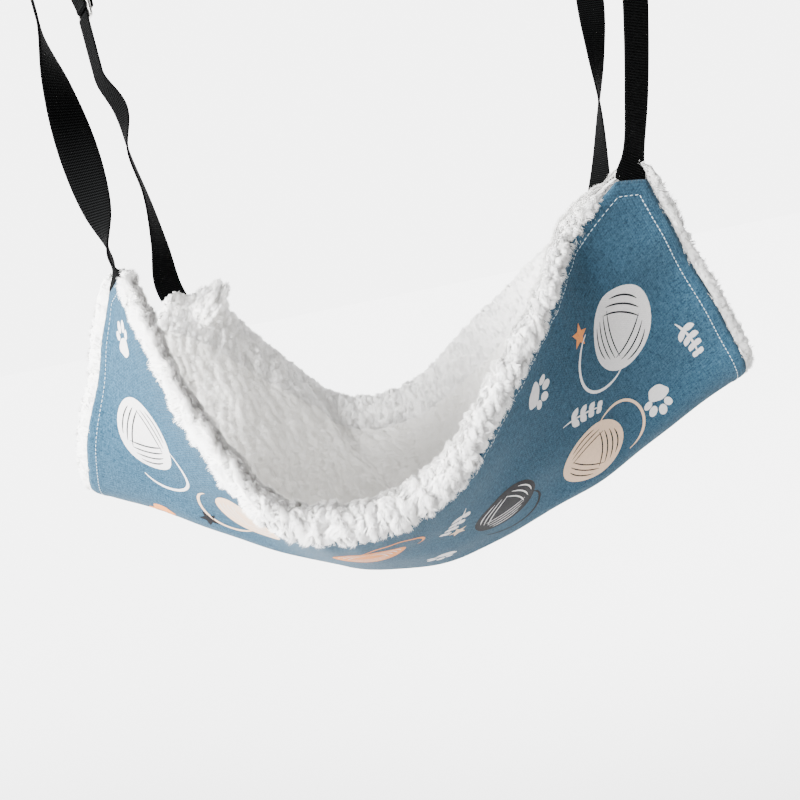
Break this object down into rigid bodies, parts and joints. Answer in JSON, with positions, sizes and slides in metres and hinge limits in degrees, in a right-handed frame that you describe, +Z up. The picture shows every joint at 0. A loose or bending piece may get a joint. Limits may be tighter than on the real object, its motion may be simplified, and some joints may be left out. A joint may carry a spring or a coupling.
{
  "type": "cage hammock",
  "caption": "Two layer pet hammock: a canvas outside and a fleece lining, slung by its corners on webbing straps with sliders, swivels and snap hooks.",
  "frame": {"origin": "in the level plane of the four hook bends' centres, straight above the lowest point of the hanging bed", "axes": "+Z up, +X along the bed to the right as pictured, +Y across it to the back"},
  "size_m": [0.5149, 0.3682, 0.5865],
  "materials": {
    "canvas": "printed plain weave canvas, blue ground",
    "fleece": "thick clumped pile, white",
    "webbing": "woven, black",
    "nickel": "nickel plated",
    "steel": "bare"
  },
  "bodies": {
    "bed": {"canvas_cover": "canvas", "fleece_lining": "fleece", "strap_front_left": "webbing", "strap_back_left": "webbing", "strap_front_right": "webbing", "strap_back_right": "webbing"},
    "slider_front_left": {"slider_front_left": "nickel"},
    "loop_front_left": {"strap_loop_front_left": "webbing"},
    "eye_front_left": {"swivel_eye_front_left": "nickel"},
    "hook_front_left": {"hook_front_left": "nickel", "gate_pin_front_left": "steel", "gate_spring_front_left": "steel"},
    "gate_front_left": {"gate_front_left": "nickel"},
    "slider_back_left": {"slider_back_left": "nickel"},
    "loop_back_left": {"strap_loop_back_left": "webbing"},
    "eye_back_left": {"swivel_eye_back_left": "nickel"},
    "hook_back_left": {"hook_back_left": "nickel", "gate_pin_back_left": "steel", "gate_spring_back_left": "steel"},
    "gate_back_left": {"gate_back_left": "nickel"},
    "slider_front_right": {"slider_front_right": "nickel"},
    "loop_front_right": {"strap_loop_front_right": "webbing"},
    "eye_front_right": {"swivel_eye_front_right": "nickel"},
    "hook_front_right": {"hook_front_right": "nickel", "gate_pin_front_right": "steel", "gate_spring_front_right": "steel"},
    "gate_front_right": {"gate_front_right": "nickel"},
    "slider_back_right": {"slider_back_right": "nickel"},
    "loop_back_right": {"strap_loop_back_right": "webbing"},
    "eye_back_right": {"swivel_eye_back_right": "nickel"},
    "hook_back_right": {"hook_back_right": "nickel", "gate_pin_back_right": "steel", "gate_spring_back_right": "steel"},
    "gate_back_right": {"gate_back_right": "nickel"}
  },
  "joints": [
    {"name": "adjust_front_left", "type": "slide", "parent": "bed", "child": "slider_front_left", "axis": [0, 0, 1], "range_m": [-0.04, 0]},
    {"name": "take_up_front_left", "type": "slide", "parent": "slider_front_left", "child": "loop_front_left", "axis": [0, 0, 1], "range_m": [0, 0.02], "deforming": ["strap_loop_front_left"]},
    {"name": "eye_pivot_front_left", "type": "hinge", "parent": "loop_front_left", "child": "eye_front_left", "pos_m": [-0.17014, -0.05919, -0.044], "axis": [-0.3746, 0.9272, 0], "range_deg": [-60, 60]},
    {"name": "swivel_front_left", "type": "hinge", "parent": "eye_front_left", "child": "hook_front_left", "pos_m": [-0.17014, -0.05919, -0.027], "axis": [0, 0, 1], "continuous": true},
    {"name": "gate_hinge_front_left", "type": "hinge", "parent": "hook_front_left", "child": "gate_front_left", "pos_m": [-0.16039, -0.05919, -0.0207], "axis": [0, -1, 0], "range_deg": [0, 35], "stiffness_Nm_per_rad": 0.01, "springref_deg": -14.9},
    {"name": "adjust_back_left", "type": "slide", "parent": "bed", "child": "slider_back_left", "axis": [0, 0, 1], "range_m": [-0.04, 0]},
    {"name": "take_up_back_left", "type": "slide", "parent": "slider_back_left", "child": "loop_back_left", "axis": [0, 0, 1], "range_m": [0, 0.02], "deforming": ["strap_loop_back_left"]},
    {"name": "eye_pivot_back_left", "type": "hinge", "parent": "loop_back_left", "child": "eye_back_left", "pos_m": [-0.19562, 0.10533, -0.044], "axis": [-0.5878, 0.809, 0], "range_deg": [-60, 60]},
    {"name": "swivel_back_left", "type": "hinge", "parent": "eye_back_left", "child": "hook_back_left", "pos_m": [-0.19562, 0.10533, -0.027], "axis": [0, 0, 1], "continuous": true},
    {"name": "gate_hinge_back_left", "type": "hinge", "parent": "hook_back_left", "child": "gate_back_left", "pos_m": [-0.18587, 0.10533, -0.0207], "axis": [0, -1, 0], "range_deg": [0, 35], "stiffness_Nm_per_rad": 0.01, "springref_deg": -14.9},
    {"name": "adjust_front_right", "type": "slide", "parent": "bed", "child": "slider_front_right", "axis": [0, 0, 1], "range_m": [-0.04, 0]},
    {"name": "take_up_front_right", "type": "slide", "parent": "slider_front_right", "child": "loop_front_right", "axis": [0, 0, 1], "range_m": [0, 0.02], "deforming": ["strap_loop_front_right"]},
    {"name": "eye_pivot_front_right", "type": "hinge", "parent": "loop_front_right", "child": "eye_front_right", "pos_m": [0.20223, -0.0514, -0.044], "axis": [0.8192, 0.5736, 0], "range_deg": [-60, 60]},
    {"name": "swivel_front_right", "type": "hinge", "parent": "eye_front_right", "child": "hook_front_right", "pos_m": [0.20223, -0.0514, -0.027], "axis": [0, 0, 1], "continuous": true},
    {"name": "gate_hinge_front_right", "type": "hinge", "parent": "hook_front_right", "child": "gate_front_right", "pos_m": [0.21198, -0.0514, -0.0207], "axis": [0, -1, 0], "range_deg": [0, 35], "stiffness_Nm_per_rad": 0.01, "springref_deg": -14.9},
    {"name": "adjust_back_right", "type": "slide", "parent": "bed", "child": "slider_back_right", "axis": [0, 0, 1], "range_m": [-0.04, 0]},
    {"name": "take_up_back_right", "type": "slide", "parent": "slider_back_right", "child": "loop_back_right", "axis": [0, 0, 1], "range_m": [0, 0.02], "deforming": ["strap_loop_back_right"]},
    {"name": "eye_pivot_back_right", "type": "hinge", "parent": "loop_back_right", "child": "eye_back_right", "pos_m": [0.2244, 0.12687, -0.044], "axis": [-0.9848, -0.1736, 0], "range_deg": [-60, 60]},
    {"name": "swivel_back_right", "type": "hinge", "parent": "eye_back_right", "child": "hook_back_right", "pos_m": [0.2244, 0.12687, -0.027], "axis": [0, 0, 1], "continuous": true},
    {"name": "gate_hinge_back_right", "type": "hinge", "parent": "hook_back_right", "child": "gate_back_right", "pos_m": [0.23415, 0.12687, -0.0207], "axis": [0, -1, 0], "range_deg": [0, 35], "stiffness_Nm_per_rad": 0.01, "springref_deg": -14.9}
  ],
  "couplings": [
    {"joint": "take_up_front_left", "follows": "adjust_front_left", "ratio": -0.5},
    {"joint": "take_up_back_left", "follows": "adjust_back_left", "ratio": -0.5},
    {"joint": "take_up_front_right", "follows": "adjust_front_right", "ratio": -0.5},
    {"joint": "take_up_back_right", "follows": "adjust_back_right", "ratio": -0.5}
  ]
}
